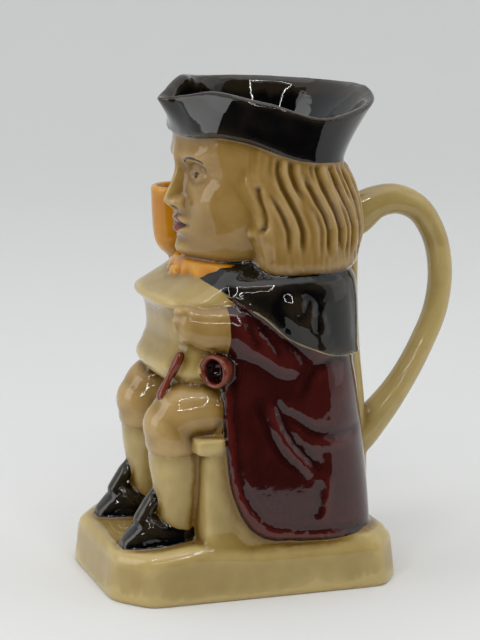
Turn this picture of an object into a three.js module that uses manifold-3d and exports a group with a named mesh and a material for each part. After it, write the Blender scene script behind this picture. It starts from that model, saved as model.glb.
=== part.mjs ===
// Toby jug: a seated drinker in a tricorn hat, slip-cast in earthenware as one hollow piece with its handle.
// Units are millimetres. +Z is up, the sitter faces -Y, and his left hand is on the +X side.
// The origin is the middle of the plinth's flat underside.
import * as THREE from "three";
import { mergeVertices } from "three/addons/utils/BufferGeometryUtils.js";
import Module from "manifold-3d";

const wasm = await Module();
wasm.setup();

const { PI, abs, cos, sin, sign, exp, hypot, min, max } = Math;
const V = (x, y, z) => new THREE.Vector3(x, y, z);

// ---------------------------------------------------------------- driving dimensions
const WALL = 4.5; // thickness of the cast wall
const BRIM = 3.6; // thickness of the brim at its lip
const FLOOR = 7; // thickness of the vessel's floor

const PLINTH = { front: 98, back: 118, length: 141, corner: 16, top: 23.3, seatTop: 26.4 };
const SEAT = { front: -29, capFront: -33, capLow: 69.5, top: 76.8, half: 48 };
const LEG = { across: 26, knee: -38, calf: -36.7 };
const SHOE = { heel: -29.7, toe: -64, sole: 22 };
const COAT = { front: -20.5, hem: 26.2, proud: 2.2, cape: 3.4 };
const HAT_CENTRE = 17; // how far the hat's middle lies behind the origin
const CUP = { x: -47, y: -9, low: 147, high: 182, radius: 13.5 };

// ---------------------------------------------------------------- small tools
const mix = (a, b, t) => a + (b - a) * t;
const clamp = (v, low = 0, high = 1) => min(high, max(low, v));
const smooth = (low, high, v) => {
  const t = clamp((v - low) / (high - low));
  return t * t * (3 - 2 * t);
};
// a soft bump of height 1 round a centre, with a radius along each direction
const bump = (x, z, cx, cz, rx, rz) => exp(-(((x - cx) / rx) ** 2) - ((z - cz) / rz) ** 2);

// Rows of numbers joined by smooth curves that don't overshoot. The first number of a row is its place.
function through(rows) {
  const places = rows.map((r) => r[0]);
  const last = rows.length - 1;
  const slope = (i, k) => (rows[i + 1][k] - rows[i][k]) / (places[i + 1] - places[i]);
  const tangent = (i, k) => {
    if (i === 0) return slope(0, k);
    if (i === last) return slope(last - 1, k);
    const [a, b] = [slope(i - 1, k), slope(i, k)];
    return a * b <= 0 ? 0 : (2 * a * b) / (a + b);
  };
  return (place) => {
    const p = clamp(place, places[0], places[last]);
    let i = 0;
    while (i < last - 1 && p > places[i + 1]) i++;
    const h = places[i + 1] - places[i];
    const t = (p - places[i]) / h;
    return rows[i].slice(1).map((v, j) => {
      const k = j + 1;
      const a = tangent(i, k) * h;
      const b = tangent(i + 1, k) * h;
      const w = rows[i + 1][k];
      return v + t * (a + t * (3 * (w - v) - 2 * a - b + t * (a + b - 2 * (w - v))));
    });
  };
}

// A closed three.js geometry as a solid that can be joined and cut.
function solid(geometry) {
  const bare = new THREE.BufferGeometry().setAttribute("position", geometry.getAttribute("position"));
  if (geometry.index) bare.setIndex(geometry.index);
  const merged = mergeVertices(bare, 1e-4);
  const found = merged.index.array;
  const faces = [];
  for (let i = 0; i < found.length; i += 3) {
    const [a, b, c] = found.slice(i, i + 3);
    if (a !== b && b !== c && c !== a) faces.push(a, b, c);
  }
  return new wasm.Manifold(
    new wasm.Mesh({
      numProp: 3,
      vertProperties: merged.attributes.position.array,
      triVerts: new Uint32Array(faces),
    }),
  );
}

// A cylinder whose every vertex is placed by a function of its angle, its height and its distance out,
// each height and distance from 0 to 1. Angle 0 points at +X, and a quarter turn is +Y.
function skin(around, up, place) {
  const g = new THREE.CylinderGeometry(1, 1, 1, around, up).rotateX(PI / 2);
  const p = g.getAttribute("position");
  for (let i = 0; i < p.count; i++) {
    const spot = place(Math.atan2(p.getY(i), p.getX(i)), p.getZ(i) + 0.5, hypot(p.getX(i), p.getY(i)));
    p.setXYZ(i, spot.x, spot.y, spot.z);
  }
  return solid(g);
}

// Stacked level sections: a row is height, half width, front, back, middle and squareness, 2 for an ellipse.
// A seventh number squares the back half on its own.
function sections(rows) {
  const at = through(rows.map((r) => (r.length < 7 ? [...r, r[5]] : r)));
  return (angle, z, out = 1) => {
    const [half, front, back, middle, squareFront, squareBack] = at(z);
    const [c, s] = [cos(angle), sin(angle)].map((v) => (abs(v) < 1e-5 ? 0 : v));
    const depth = s > 0 ? back - middle : middle - front;
    const power = 2 / (s > 0 ? squareBack : squareFront);
    return V(out * half * sign(c) * abs(c) ** power, middle + out * depth * sign(s) * abs(s) ** power, z);
  };
}

function stack(rows, around, up) {
  const place = sections(rows);
  const [low, high] = [rows[0][0], rows.at(-1)[0]];
  return skin(around, up, (angle, t, out) => place(angle, mix(low, high, t), out));
}

// A round-ended limb along a smooth curve. Each row is x, y, z and the radii across and along the bend.
function limb(rows, around = 12, along = 10, caps = 3) {
  const curve = new THREE.CatmullRomCurve3(rows.map(([x, y, z]) => V(x, y, z)), false, "centripetal");
  const radii = through(rows.map((r, i) => [i / (rows.length - 1), r[3], r[4] ?? r[3]]));
  const g = new THREE.CapsuleGeometry(1, 1, caps, around, along).rotateX(PI / 2);
  const p = g.getAttribute("position");
  const side = new THREE.Vector3();
  const normal = new THREE.Vector3();
  for (let i = 0; i < p.count; i++) {
    const z = p.getZ(i);
    const t = clamp(z + 0.5);
    const beyond = z + 0.5 - t;
    const heading = curve.getTangent(t);
    side.set(1, 0, 0).addScaledVector(heading, -heading.x).normalize();
    normal.crossVectors(heading, side);
    const [across, along] = radii(t);
    const spot = curve
      .getPoint(t)
      .addScaledVector(side, p.getX(i) * across)
      .addScaledVector(normal, p.getY(i) * along)
      .addScaledVector(heading, beyond * min(across, along));
    p.setXYZ(i, spot.x, spot.y, spot.z);
  }
  return solid(g);
}

function ball(x, y, z, rx, ry, rz, around = 16, up = 10) {
  return solid(new THREE.SphereGeometry(1, around, up).rotateX(PI / 2).scale(rx, ry, rz).translate(x, y, z));
}

// An outline seen from above, pulled up through levels. Each is a height and how far the edge is drawn in.
function slab(outline, levels, lift = () => 0) {
  const g = new THREE.ExtrudeGeometry(outline, { depth: 1, steps: levels.length - 1, bevelEnabled: false });
  const p = g.getAttribute("position");
  for (let i = 0; i < p.count; i++) {
    const [z, inset] = levels[Math.round(p.getZ(i) * (levels.length - 1))];
    const [x, y] = [p.getX(i), p.getY(i)];
    const reach = hypot(x, y);
    const share = 1 - inset / reach;
    p.setXYZ(i, x * share, y * share, z + (z > 0 ? lift(x, y, z) : 0));
  }
  return solid(g);
}

const join = (...parts) => parts.reduce((a, b) => a.add(b));
const mirrored = (part) => part.mirror([1, 0, 0]);

// ---------------------------------------------------------------- plinth and seat
// The plinth's outline: a tapered oblong with its corners cut off, each cut softened by two short turns.
function plinthOutline(front, frontCut) {
  const half = (y) => mix(PLINTH.front, PLINTH.back, y / PLINTH.length + 0.5) / 2;
  const rear = PLINTH.length / 2;
  const cut = PLINTH.corner;
  const corners = [
    [half(front) - frontCut, front],
    [half(front + frontCut), front + frontCut * 0.9],
    [half(rear - cut), rear - cut * 0.8],
    [half(rear) - cut, rear],
  ];
  const right = corners.flatMap(([x, y], i) => {
    const before = corners[i - 1] ?? [-x, y];
    const after = corners[i + 1] ?? [-x, y];
    const towards = ([ax, ay]) => {
      const share = min(0.4, 3 / hypot(ax - x, ay - y));
      return [mix(x, ax, share), mix(y, ay, share)];
    };
    return [towards(before), towards(after)];
  });
  const left = right.map(([x, y]) => [-x, y]).reverse();
  return new THREE.Shape([...right, ...left].map(([x, y]) => new THREE.Vector2(x, y)));
}

// The top of the plinth climbs a little from the toes to the seat.
function plinth() {
  const { top, seatTop, length, corner } = PLINTH;
  const levels = [[0, 0.8], [1, 0], [top - 3.5, 2.4], [top - 1, 3.6], [top, 6]];
  const rise = (y) => (seatTop - top) * smooth(-66, SEAT.front, y) * smooth(0, SEAT.front, y);
  const climb = (x, y, z) => rise(y) * (z / top);
  return slab(plinthOutline(-length / 2, corner), levels, climb);
}

// The seat: a block with a ledge along its front, and a round skirt that carries the body down to the plinth.
function seat() {
  const { front, capFront, capLow, top, half } = SEAT;
  const skirt = slab(
    plinthOutline(front, 3),
    [[12, 2.2], [19, 3.2], [25, 5.4], [29.5, 9.5], [33, 15], [34.5, 21]],
  );
  const block = stack(
    [[10, half + 3.4, front - 0.6, 50, 10, 9], [24, half + 1.6, front - 0.3, 50, 10, 9],
      [34, half, front, 50, 10, 9], [capLow + 3, half - 0.4, front, 50, 10, 9]],
    20, 2,
  );
  const ledge = stack(
    [[capLow, half - 1, capFront + 1.5, -8, -16, 8], [capLow + 1.5, half + 0.3, capFront, -8, -16, 8],
      [top - 1, half + 0.3, capFront, -8, -16, 8], [top, half - 1, capFront + 1.5, -8, -16, 8]],
    16, 3,
  );
  return join(skirt, block, ledge);
}

// ---------------------------------------------------------------- body
// height, half width, front, back, middle, squareness of the front, squareness of the back
const BODY = [
  [18, 49.5, -20, 61, 18, 7, 3.4],
  [40, 48.5, -24, 61.3, 18, 7, 3.2],
  [70, 47.5, -26, 60, 18, 7, 3],
  [90, 46, -25, 57.5, 18, 5, 2.9],
  [112, 45, -23, 55, 18, 4, 2.8],
  [132, 44.5, -22, 55, 18, 3.2, 2.7],
  [146, 43, -21, 54, 18, 2.8, 2.6],
  [154, 38, -17, 52, 18, 2.4, 2.4],
  [160, 30, -10, 48, 18, 2, 2],
];

// A layer of cloth over the body, cut to an outline drawn on the side view as Y across and Z up.
function layer(outline, low, high, proud, up) {
  const rows = BODY.filter(([z]) => z >= low && z <= high).map(([z, half, front, back, ...shape]) => [
    z, half + proud(z), front, back + proud(z), ...shape,
  ]);
  const settings = { depth: 140, steps: 1, bevelEnabled: false, curveSegments: 7 };
  const cut = new THREE.ExtrudeGeometry(outline, settings);
  cut.applyMatrix4(new THREE.Matrix4().makeBasis(V(0, 1, 0), V(0, 0, 1), V(1, 0, 0))).translate(-70, 0, 0);
  return stack(rows, 20, up).intersect(solid(cut));
}

// The coat's skirts: long panels with a swept lower corner, flaring a little to the hem.
function coat() {
  const { front, hem, proud } = COAT;
  const side = new THREE.Shape();
  side.moveTo(front + 2, 140);
  side.lineTo(front, 74);
  side.bezierCurveTo(front, 46, front + 9, hem + 1, front + 29, hem);
  side.lineTo(75, hem - 9);
  side.lineTo(75, 140);
  side.closePath();
  return layer(side, 18, 146, (z) => proud + 1.6 * smooth(90, 30, z), 7);
}

// The short cape over the shoulders, whose edge falls from the breast to the small of the back.
function cape() {
  const side = new THREE.Shape();
  side.moveTo(-30, 151);
  side.lineTo(-17, 144);
  side.bezierCurveTo(0, 130, 26, 112, 64, 103);
  side.lineTo(75, 152);
  side.closePath();
  return layer(side, 90, 154, (z) => COAT.cape * smooth(154, 143, z), 4);
}

// Folds that sweep down from the sleeve and turn back.
function coatFolds() {
  return join(
    limb([[48.5, 5, 97, 2.4], [50.6, 8.5, 80, 2.6], [51, 17, 67, 2.4], [50.5, 30, 56, 1.6]], 6, 5, 1),
    limb([[48.5, -2, 88, 2], [50.6, 4, 73, 2.2], [51, 18, 57, 1.5]], 6, 4, 1),
  );
}

// ---------------------------------------------------------------- waistcoat, fob and neckcloth
function waistcoat() {
  return stack(
    [
      [97, 33, -34, 0, -6, 3.2],
      [101, 36, -39, 0, -6, 3.4],
      [105.5, 38, -41.8, 0, -6, 3.4],
      [112, 38, -38.5, 0, -6, 3.4],
      [119, 37, -36.5, 0, -6, 3.3],
      [128, 37, -37, 0, -6, 3.3],
      [134, 38.5, -39.5, 0, -6, 3.2],
      [137.5, 40, -42.5, 0, -6, 3],
      [140, 39.5, -39.5, 0, -6, 2.9],
      [147, 38, -27.5, 4, -4, 2.6],
      [153, 34, -20, 4, -2, 2.4],
    ],
    20, 10,
  );
}

function neckcloth() {
  const band = stack(
    [[144, 29, -24.5, 0, -6, 2.4], [147, 31, -26.5, 0, -6, 2.4], [154, 29, -23.5, 0, -6, 2.3]],
    16, 2,
  );
  const bow = [-1, 1].map((s) => limb([[0, -26.5, 147.5, 3, 2.4], [s * 7, -29.5, 145, 4, 2.2]], 6, 1, 1));
  return join(band, ...bow);
}

// A ribbon fob: wide at both ends and pinched in the middle, hanging over the waistcoat's hem.
function fob() {
  return limb([[30, -35, 113.5, 3.2, 1.8], [28.5, -39, 105, 1.7, 1.8], [27.5, -43.6, 95.5, 3.2, 2]], 6, 5, 1);
}

// A rolled pocket mouth below the hand: a thick ring with a hollow, looking forwards and a little outwards.
function pocketRoll() {
  const profile = [[0, -5], [6, -5], [8.2, -1], [8.4, 1.8], [7, 3.2], [5.2, 2.2], [3.8, -1], [0, -1.6]];
  const g = new THREE.LatheGeometry(profile.map(([r, y]) => new THREE.Vector2(r, y)), 10);
  return solid(g.rotateZ(PI * 1.15).translate(42.5, -21, 108));
}

// ---------------------------------------------------------------- legs and shoes
function leg() {
  const { across: x, knee, calf } = LEG;
  const thigh = limb(
    [[x + 2, -6, 87, 17, 14], [x + 2, -20, 87.5, 17, 15.5], [x + 1, -31, 86, 16, 15.2],
      [x, knee, 80, 14.5, 13.4]],
    12, 3, 2,
  );
  const breeches = stack(
    [[68.5, 13, -11, 12, 0, 2.4], [70, 14.4, -12, 12, 0, 2.4], [78, 14.8, -13, 12, 0, 2.4],
      [86, 13, -12, 10, 0, 2.4]],
    12, 3,
  ).translate([x, knee + 1.2, 0]);
  const stocking = stack(
    [[20, 9, -8.6, 9, 0, 2.2], [34, 9.2, -9, 9, 0, 2.2], [48, 11.2, -9.6, 10, 0, 2.3],
      [62, 13, -11.3, 10, 0, 2.4], [72, 13.2, -11.8, 10, 0, 2.4]],
    12, 3,
  ).translate([x, calf, 0]);
  return join(thigh, breeches, stocking);
}

// Place along the shoe from heel to toe, the upper's half width and the height of its top.
const SHOE_TOP = [
  [0, 7.4, 35.5],
  [0.1, 8.6, 36],
  [0.42, 9, 38],
  [0.54, 9.6, 42],
  [0.76, 9.2, 35.5],
  [0.92, 7.2, 30],
  [1, 4.2, 26.5],
];

function shoe() {
  const { heel, toe, sole } = SHOE;
  const run = through(SHOE_TOP);
  const upper = skin(10, 7, (angle, t, out) => {
    const [half, top] = run(t);
    const rise = sin(angle) > 0 ? (top - sole) * sin(angle) ** 0.9 : 1.5 * sin(angle);
    return V(half * out * sign(cos(angle)) * abs(cos(angle)) ** 0.8, mix(heel, toe, t), sole + out * rise);
  });
  const tongue = limb([[0, -54, 34, 6, 3.2], [0, -50.5, 41, 5.4, 2.8], [0, -48.8, 46, 3.8, 2.2]], 6, 2, 1);
  const knot = ball(0, -55.5, 37.5, 3.2, 2.2, 2, 6, 4);
  return join(upper, tongue, knot).translate([LEG.across, 0, 0]);
}

// ---------------------------------------------------------------- arms
function shoulder() {
  return limb([[31, 8, 142, 14, 12], [36, 20, 126, 12.5, 15], [36.5, 31, 104, 12.5, 17]], 10, 2, 1);
}

// Four fingers side by side, each along a path made for its number.
const hand = (path, ...detail) => join(...[0, 1, 2, 3].map((i) => limb(path(i), ...detail)));

// The near arm lies along the body in relief, and its hand rests on the waistcoat.
function nearArm() {
  const elbow = ball(34.5, 33, 93, 15.6, 22, 18, 10, 6);
  const fore = limb(
    [[36.5, 33, 94, 14, 18], [38, 16, 106, 12.6, 16.4], [38.5, -1, 117, 10.4, 13.6],
      [38.5, -14, 127, 7.8, 12]],
    12, 4, 1,
  );
  const cuff = limb([[38.6, -13, 127, 8.6, 13], [38, -16, 128, 8.6, 13]], 10, 1, 1);
  const palm = limb([[38, -15, 127.5, 8, 12], [35.5, -24, 128.5, 7.6, 11], [33, -31, 130, 6.4, 9]], 8, 3, 2);
  const fingers = hand((i) => {
    const [z, reach] = [136.5 - i * 4.7, [0, 1.2, 0.6, -2][i]];
    return [[35.5, -24, z - 1, 4, 3.4], [32.5, -33.5 - reach, z, 3.8, 3.3], [30, -36.5 - reach, z, 3, 2.9]];
  }, 6, 2, 1);
  const thumb = limb([[38.5, -15, 134, 3.8, 4], [35, -24, 138, 3.4, 3.4], [31, -31, 139.6, 3, 3]], 6, 2, 1);
  return join(shoulder(), elbow, fore, cuff, palm, thumb, fingers);
}

// The far arm is bent up, and its hand holds the beaker from below and outside.
function farArm() {
  const fore = limb(
    [[-38, 26, 100, 13, 16], [-43, 13, 113, 12, 13], [-46, 0, 128, 9.5, 10], [-46.5, -7, 141, 7, 8]],
    10, 3, 1,
  );
  const wrist = limb(
    [[-46.5, -7, 139, 6, 7], [-47.5, -6, 147, 7, 8], [-50.5, -1, 156, 6, 8], [-52, 3, 166, 4, 6]],
    8, 3, 1,
  );
  const fingers = hand((i) => [105, 135, 168, 200].map((degrees) => {
    const [reach, a] = [CUP.radius + 1.2, (degrees * PI) / 180];
    return [CUP.x + reach * cos(a), CUP.y + reach * sin(a), 172 - i * 5.2, 3];
  }), 5, 2, 1);
  return join(mirrored(shoulder()), fore, wrist, fingers);
}

// The raised beaker: straight sides drawn in to a round foot.
function beaker() {
  const { x, y, low, high, radius } = CUP;
  const profile = [
    [0, low - 2], [5, low - 1.4], [9, low + 2], [12, low + 8], [radius, low + 16],
    [radius + 0.4, high - 2], [radius - 0.8, high], [radius - 3.4, high - 1.6], [0, high - 1.6],
  ];
  const g = new THREE.LatheGeometry(profile.map(([r, z]) => new THREE.Vector2(r, z)), 14);
  return solid(g.rotateX(PI / 2).translate(x, y, 0));
}

// ---------------------------------------------------------------- head
// height, half width, front, back, middle, squareness
const FACE = [
  [150, 19, -11, 30, 8, 2],
  [153, 28, -18, 40, 8, 2],
  [159, 34.5, -23, 50, 8, 2.05],
  [170, 39, -24, 54, 8, 2.1],
  [184, 41.5, -23.5, 54, 8, 2.1],
  [198, 41.5, -24, 50, 8, 2.1],
  [208, 41, -25, 46, 8, 2.1],
  [218, 40, -25, 44, 8, 2.1],
];

// The nose's height in front of the cheeks and its half width, from under its tip to the brow.
const NOSE = through([
  [176.5, 0, 5.2],
  [179, 5.6, 5],
  [182, 9, 4.6],
  [185, 8, 3.9],
  [191, 5, 3.4],
  [198, 2.6, 3.4],
  [206, 1, 5],
  [210, 0, 5],
]);

// How far the calm, regular face stands forwards of its plain oval at a place across and up.
function relief(x, z) {
  const s = abs(x);
  const brow = 2 * bump(s, z, 13, 202, 9, 3.2) + 0.8 * bump(s, z, 0, 203, 7, 6);
  const socket = -4.2 * bump(s, z, 14, 195.5, 8, 4.6);
  const eye = 3.4 * bump(s, z, 14.4, 194.6, 6, 3.4);
  const [bridge, width] = NOSE(z);
  const nose = bridge * exp(-((s / width) ** 2)) + 3.4 * bump(s, z, 5.8, 181, 2.9, 2.8);
  const cheek = 2.6 * bump(s, z, 22, 182, 9, 8);
  const mound = 1.4 * bump(s, z, 0, 170.4, 14, 8);
  const upperLip = 2.6 * bump(s, z, 3.2, 172.8, 6.5, 1.9);
  const parting = -2.4 * bump(s, z, 0, 170.4, 10, 1.1);
  const lowerLip = 3 * bump(s, z, 0, 167.8, 7, 2);
  const dip = -1.6 * bump(s, z, 0, 163.8, 8, 1.9);
  const chin = 3.6 * bump(s, z, 0, 158.6, 8.5, 4.4);
  return brow + socket + eye + nose + cheek + mound + upperLip + parting + lowerLip + dip + chin;
}

function face() {
  const place = sections(FACE);
  // rows lie closer at the mouth and the nose, where the features are small
  const [low, high] = [FACE[0][0], FACE.at(-1)[0]];
  const level = through([[0, low], [0.1, 158], [0.22, 164], [0.6, 180], [0.92, 204], [1, high]]);
  return skin(34, 19, (angle, t, out) => {
    // the columns are drawn to the front, where the features are
    const fromFront = Math.atan2(cos(angle), -sin(angle));
    const drawn = fromFront - 0.66 * sin(fromFront);
    const z = level(t)[0];
    const spot = place(drawn - PI / 2, z, out);
    spot.y -= out * relief(spot.x, z) * smooth(8, -14, spot.y);
    return spot;
  });
}

// The hair, cut level at the nape, whose front edge waves past the temple and the jaw.
// height, half width, front, back, middle, squareness of the front, squareness of the back
const HAIR = [
  [149, 41.5, 2, 56.5, 22, 4, 2.4],
  [152, 44, -1, 59.5, 22, 4, 2.4],
  [158, 45, -2, 61, 22, 4, 2.4],
  [168, 45.6, -6, 62.5, 22, 4, 2.4],
  [180, 45.4, -9, 61, 22, 4, 2.4],
  [192, 44.6, -13, 57, 22, 4, 2.4],
  [203, 43.6, -10, 50, 20, 4, 2.4],
  [213, 43, -9, 47, 19, 4, 2.4],
];
const LOCKS = 26; // locks of hair all round, of which the face covers eight

// Each lock runs down and back: the whole pattern is swept towards the nape as it falls, alike on both sides.
function sweep(phase, z) {
  const fall = 0.34 * smooth(214, 156, z) + 0.04 * sin(z / 8);
  return sign(phase) * (abs(phase) - fall * smooth(0, 0.6, abs(phase)) * smooth(PI, 2, abs(phase)));
}

function hair() {
  const place = sections(HAIR);
  const [low, high] = [HAIR[0][0], HAIR.at(-1)[0]];
  return skin(3 * LOCKS, 5, (angle, t, out) => {
    const z = mix(low, high, t);
    const phase = Math.atan2(cos(angle), sin(angle));
    const turned = PI / 2 - sweep(phase, z);
    const spot = place(turned, z, out);
    // one column in three is a groove between two round locks, and the grooves fade out above and below
    const depth = 2.2 * smooth(low - 2, low + 8, z) * smooth(high + 2, high - 10, z);
    const push = out * depth * (abs(sin((phase * LOCKS) / 2)) - 0.75);
    return spot.add(V(cos(turned) * push, sin(turned) * push, 0));
  });
}

// ---------------------------------------------------------------- hat
// Angle from the front towards the sitter's left, the lip's reach from the hat's centre and its height.
const LIP = through([
  [-180, 55, 232.5],
  [-133, 52, 233.5],
  [-105, 50.5, 234.5],
  [-72, 47.5, 235.5],
  [-35, 41, 238],
  [-13, 46.5, 233.5],
  [0, 53, 230],
  [13, 46.5, 231.5],
  [35, 41.5, 234],
  [72, 47.5, 230],
  [105, 50.5, 222.5],
  [133, 52.5, 225.5],
  [180, 55, 232.5],
]);

// The hat's foot is an oval on the hair, level at the brow and lower behind.
const HAT_FOOT = sections([[0, 44.8, -26, 51, 14, 2.7], [1, 44.8, -26, 51, 14, 2.7]]);
const FOOT_HEIGHT = through([
  [-27, 212.5],
  [-18, 215],
  [-8, 213.3],
  [8, 207],
  [20, 203.2],
  [34, 201.5],
  [53, 200.5],
]);

// A point on the hat's side: up runs from the foot to the lip, and inset draws it in from the outer face.
function hatSide(angle, up, inset = 0) {
  const [reach, top] = LIP((Math.atan2(cos(angle), -sin(angle)) * 180) / PI);
  const foot = HAT_FOOT(angle, 0);
  const flare = up ** 1.3;
  const x = mix(foot.x, reach * cos(angle), flare);
  const y = mix(foot.y - HAT_CENTRE, reach * sin(angle), flare);
  const share = 1 - inset / hypot(x, y);
  return V(x * share, HAT_CENTRE + y * share, mix(FOOT_HEIGHT(foot.y)[0], top, up));
}

function hat() {
  return skin(36, 4, (angle, t, out) => {
    if (out < 0.5) return V(0, HAT_CENTRE, t < 0.5 ? 199 : 222);
    return hatSide(angle, t);
  });
}

// ---------------------------------------------------------------- handle
// Each row is x, y, z and the half thicknesses across and along the bend: a round grip with spread roots.
function handle() {
  return limb(
    [
      [0, 54, 166, 8.6, 13],
      [0, 66, 170, 8, 10.5],
      [0, 76, 175, 7.4, 8.2],
      [0, 86, 176.2, 7.2, 7.4],
      [0, 98, 171.2, 7, 6.6],
      [0, 106.8, 159, 7, 6.1],
      [0, 111.2, 140, 7, 5.9],
      [0, 109, 120, 7, 5.8],
      [0, 102, 103.5, 7, 5.9],
      [0, 91.5, 85.5, 7.2, 6.4],
      [0, 79, 70, 7.6, 8],
      [0, 66, 58, 8.4, 10],
      [0, 57, 51, 8.6, 10],
    ],
    9, 17, 1,
  );
}

// The plain rib down the back, between the handle's roots and on to the plinth.
function rib() {
  const rows = [[60, 154], [60, 135], [61.5, 105], [64.5, 75], [66, 45], [65.5, 18]];
  return limb(rows.map(([y, z]) => [0, y, z, 8, 6]), 8, 4, 1);
}

// ---------------------------------------------------------------- hollow
// The vessel's inside, one wall in: height, half width, front, back, middle and squareness.
const HOLLOW = [
  [FLOOR, 42, -56, 56, 6, 4],
  [FLOOR + 4, 45, -60, 59, 6, 5],
  [FLOOR + 9, 45, -59, 59.5, 8, 5],
  [FLOOR + 15, 45, -25, 59.5, 14, 5],
  [60, 44.5, -22.5, 58, 18, 3.8],
  [90, 42.5, -19.5, 55, 18, 3],
  [120, 40.5, -17, 52.5, 18, 2.7],
  [143, 38.5, -14, 50.5, 18, 2.5],
  [156, 34.5, -12, 49, 18, 2.3],
  [170, 37, -16.5, 56.5, 16, 2.3],
  [190, 37, -16.5, 51.5, 16, 2.3],
  [203, 37, -17.5, 44.5, 15, 2.3],
  [214, 38, -20, 44, 14, 2.4],
];

// The hat's inside is a funnel, one wall in at its foot and one brim in at its lip, and open above.
function hollow() {
  const well = stack(HOLLOW, 16, 9);
  const start = 0.12; // the funnel begins a little above the hat's foot
  const lipAt = 0.75; // the last quarter of its rows only carries the cut out past the lip
  const funnel = skin(36, 4, (angle, t, out) => {
    if (out < 0.5) return V(0, HAT_CENTRE, t < 0.5 ? 205 : 252);
    const up = mix(start, 1, min(1, t / lipAt));
    return hatSide(angle, up, mix(WALL + 1, BRIM, up)).add(V(0, 0, t > lipAt + 0.01 ? 16 : 0));
  });
  return well.add(funnel);
}

// ---------------------------------------------------------------- the whole jug
function jug() {
  const core = join(plinth(), seat(), stack(BODY, 20, 6), face(), hair(), hat(), handle(), rib(), beaker());
  const folds = join(coatFolds(), mirrored(coatFolds()));
  const dress = join(coat(), cape(), folds, waistcoat(), neckcloth(), fob(), pocketRoll());
  const limbs = join(leg(), mirrored(leg()), shoe(), mirrored(shoe()), nearArm(), farArm());
  return join(core, dress, limbs).subtract(hollow());
}

function asMesh(shape, name, material) {
  const { numProp, numVert, vertProperties, triVerts } = shape.getMesh();
  const places = new Float32Array(numVert * 3);
  for (let i = 0; i < numVert; i++) places.set(vertProperties.subarray(i * numProp, i * numProp + 3), i * 3);
  const geometry = new THREE.BufferGeometry()
    .setAttribute("position", new THREE.BufferAttribute(places, 3))
    .setIndex(new THREE.BufferAttribute(triVerts, 1));
  geometry.computeVertexNormals();
  const mesh = new THREE.Mesh(geometry, material);
  mesh.name = name;
  return mesh;
}

const glaze = new THREE.MeshStandardMaterial({ color: 0xb59a62, roughness: 0.12, metalness: 0 });
const toby = new THREE.Group();
toby.add(asMesh(jug(), "toby_jug", glaze));

export default toby;
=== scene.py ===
# A toby jug: a seated drinker in a tricorn hat, slip-cast in earthenware and dressed in coloured glazes.
# Numbers in the dictionaries are millimetres, with the sitter facing -Y and the plinth's underside at 0.
import math

import bmesh
import bpy
import numpy as np
from mathutils import Matrix, Vector
from mathutils.bvhtree import BVHTree
from mathutils.kdtree import KDTree


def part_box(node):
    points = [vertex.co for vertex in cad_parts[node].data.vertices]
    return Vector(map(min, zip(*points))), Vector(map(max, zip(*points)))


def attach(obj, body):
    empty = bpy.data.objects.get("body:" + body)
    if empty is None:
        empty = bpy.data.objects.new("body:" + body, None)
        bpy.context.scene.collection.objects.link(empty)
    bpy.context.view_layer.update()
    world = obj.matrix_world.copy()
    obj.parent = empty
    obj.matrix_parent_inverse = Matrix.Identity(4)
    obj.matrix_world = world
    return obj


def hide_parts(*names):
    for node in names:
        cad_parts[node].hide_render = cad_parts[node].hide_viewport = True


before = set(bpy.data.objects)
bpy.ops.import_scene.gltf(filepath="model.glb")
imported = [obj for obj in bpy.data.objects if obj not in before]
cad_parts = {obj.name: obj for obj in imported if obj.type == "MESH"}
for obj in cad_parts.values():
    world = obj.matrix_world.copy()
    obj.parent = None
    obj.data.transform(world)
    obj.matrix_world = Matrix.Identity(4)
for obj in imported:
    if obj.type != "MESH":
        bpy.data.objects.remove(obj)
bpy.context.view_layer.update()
jugLow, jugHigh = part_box("toby_jug")
jug = {
    "height": 237.9,  # the hat's highest point above the table
    "voxel": 0.72,  # size of the remesh that fuses the parts as one casting
    "triangles": 196000,  # kept in the finished casting
}
mm = (jugHigh.z - jugLow.z) / jug["height"]  # one millimetre of the jug in metres
print("frame: the jug stands", round(jugHigh.z - jugLow.z, 4), "m tall")


# ---- shapes: smooth rows, sections, limbs
def smooth(low, high, value):
    t = np.clip((value - low) / (high - low), 0, 1)
    return t * t * (3 - 2 * t)


def bump(x, z, cx, cz, rx, rz):
    return np.exp(-(((x - cx) / rx) ** 2) - ((z - cz) / rz) ** 2)


def through(rows):
    # rows of numbers joined by smooth curves that don't overshoot, the first number of a row being its place
    table = np.array(rows, float)
    places, values = table[:, 0], table[:, 1:]
    step = np.diff(places)
    slope = np.diff(values, axis=0) / step[:, None]
    product = slope[:-1] * slope[1:]
    total = slope[:-1] + slope[1:]
    inner = np.where(product > 0, 2 * product / np.where(product > 0, total, 1), 0)
    tangent = np.vstack([slope[:1], inner, slope[-1:]])

    def at(value):
        p = np.clip(np.asarray(value, float), places[0], places[-1])
        i = np.clip(np.searchsorted(places, p, side="right") - 1, 0, len(step) - 1)
        t = ((p - places[i]) / step[i])[..., None]
        a, b = tangent[i] * step[i][..., None], tangent[i + 1] * step[i][..., None]
        rise = values[i + 1] - values[i]
        return values[i] + t * (a + t * (3 * rise - 2 * a - b + t * (a + b - 2 * rise)))

    return at


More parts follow.
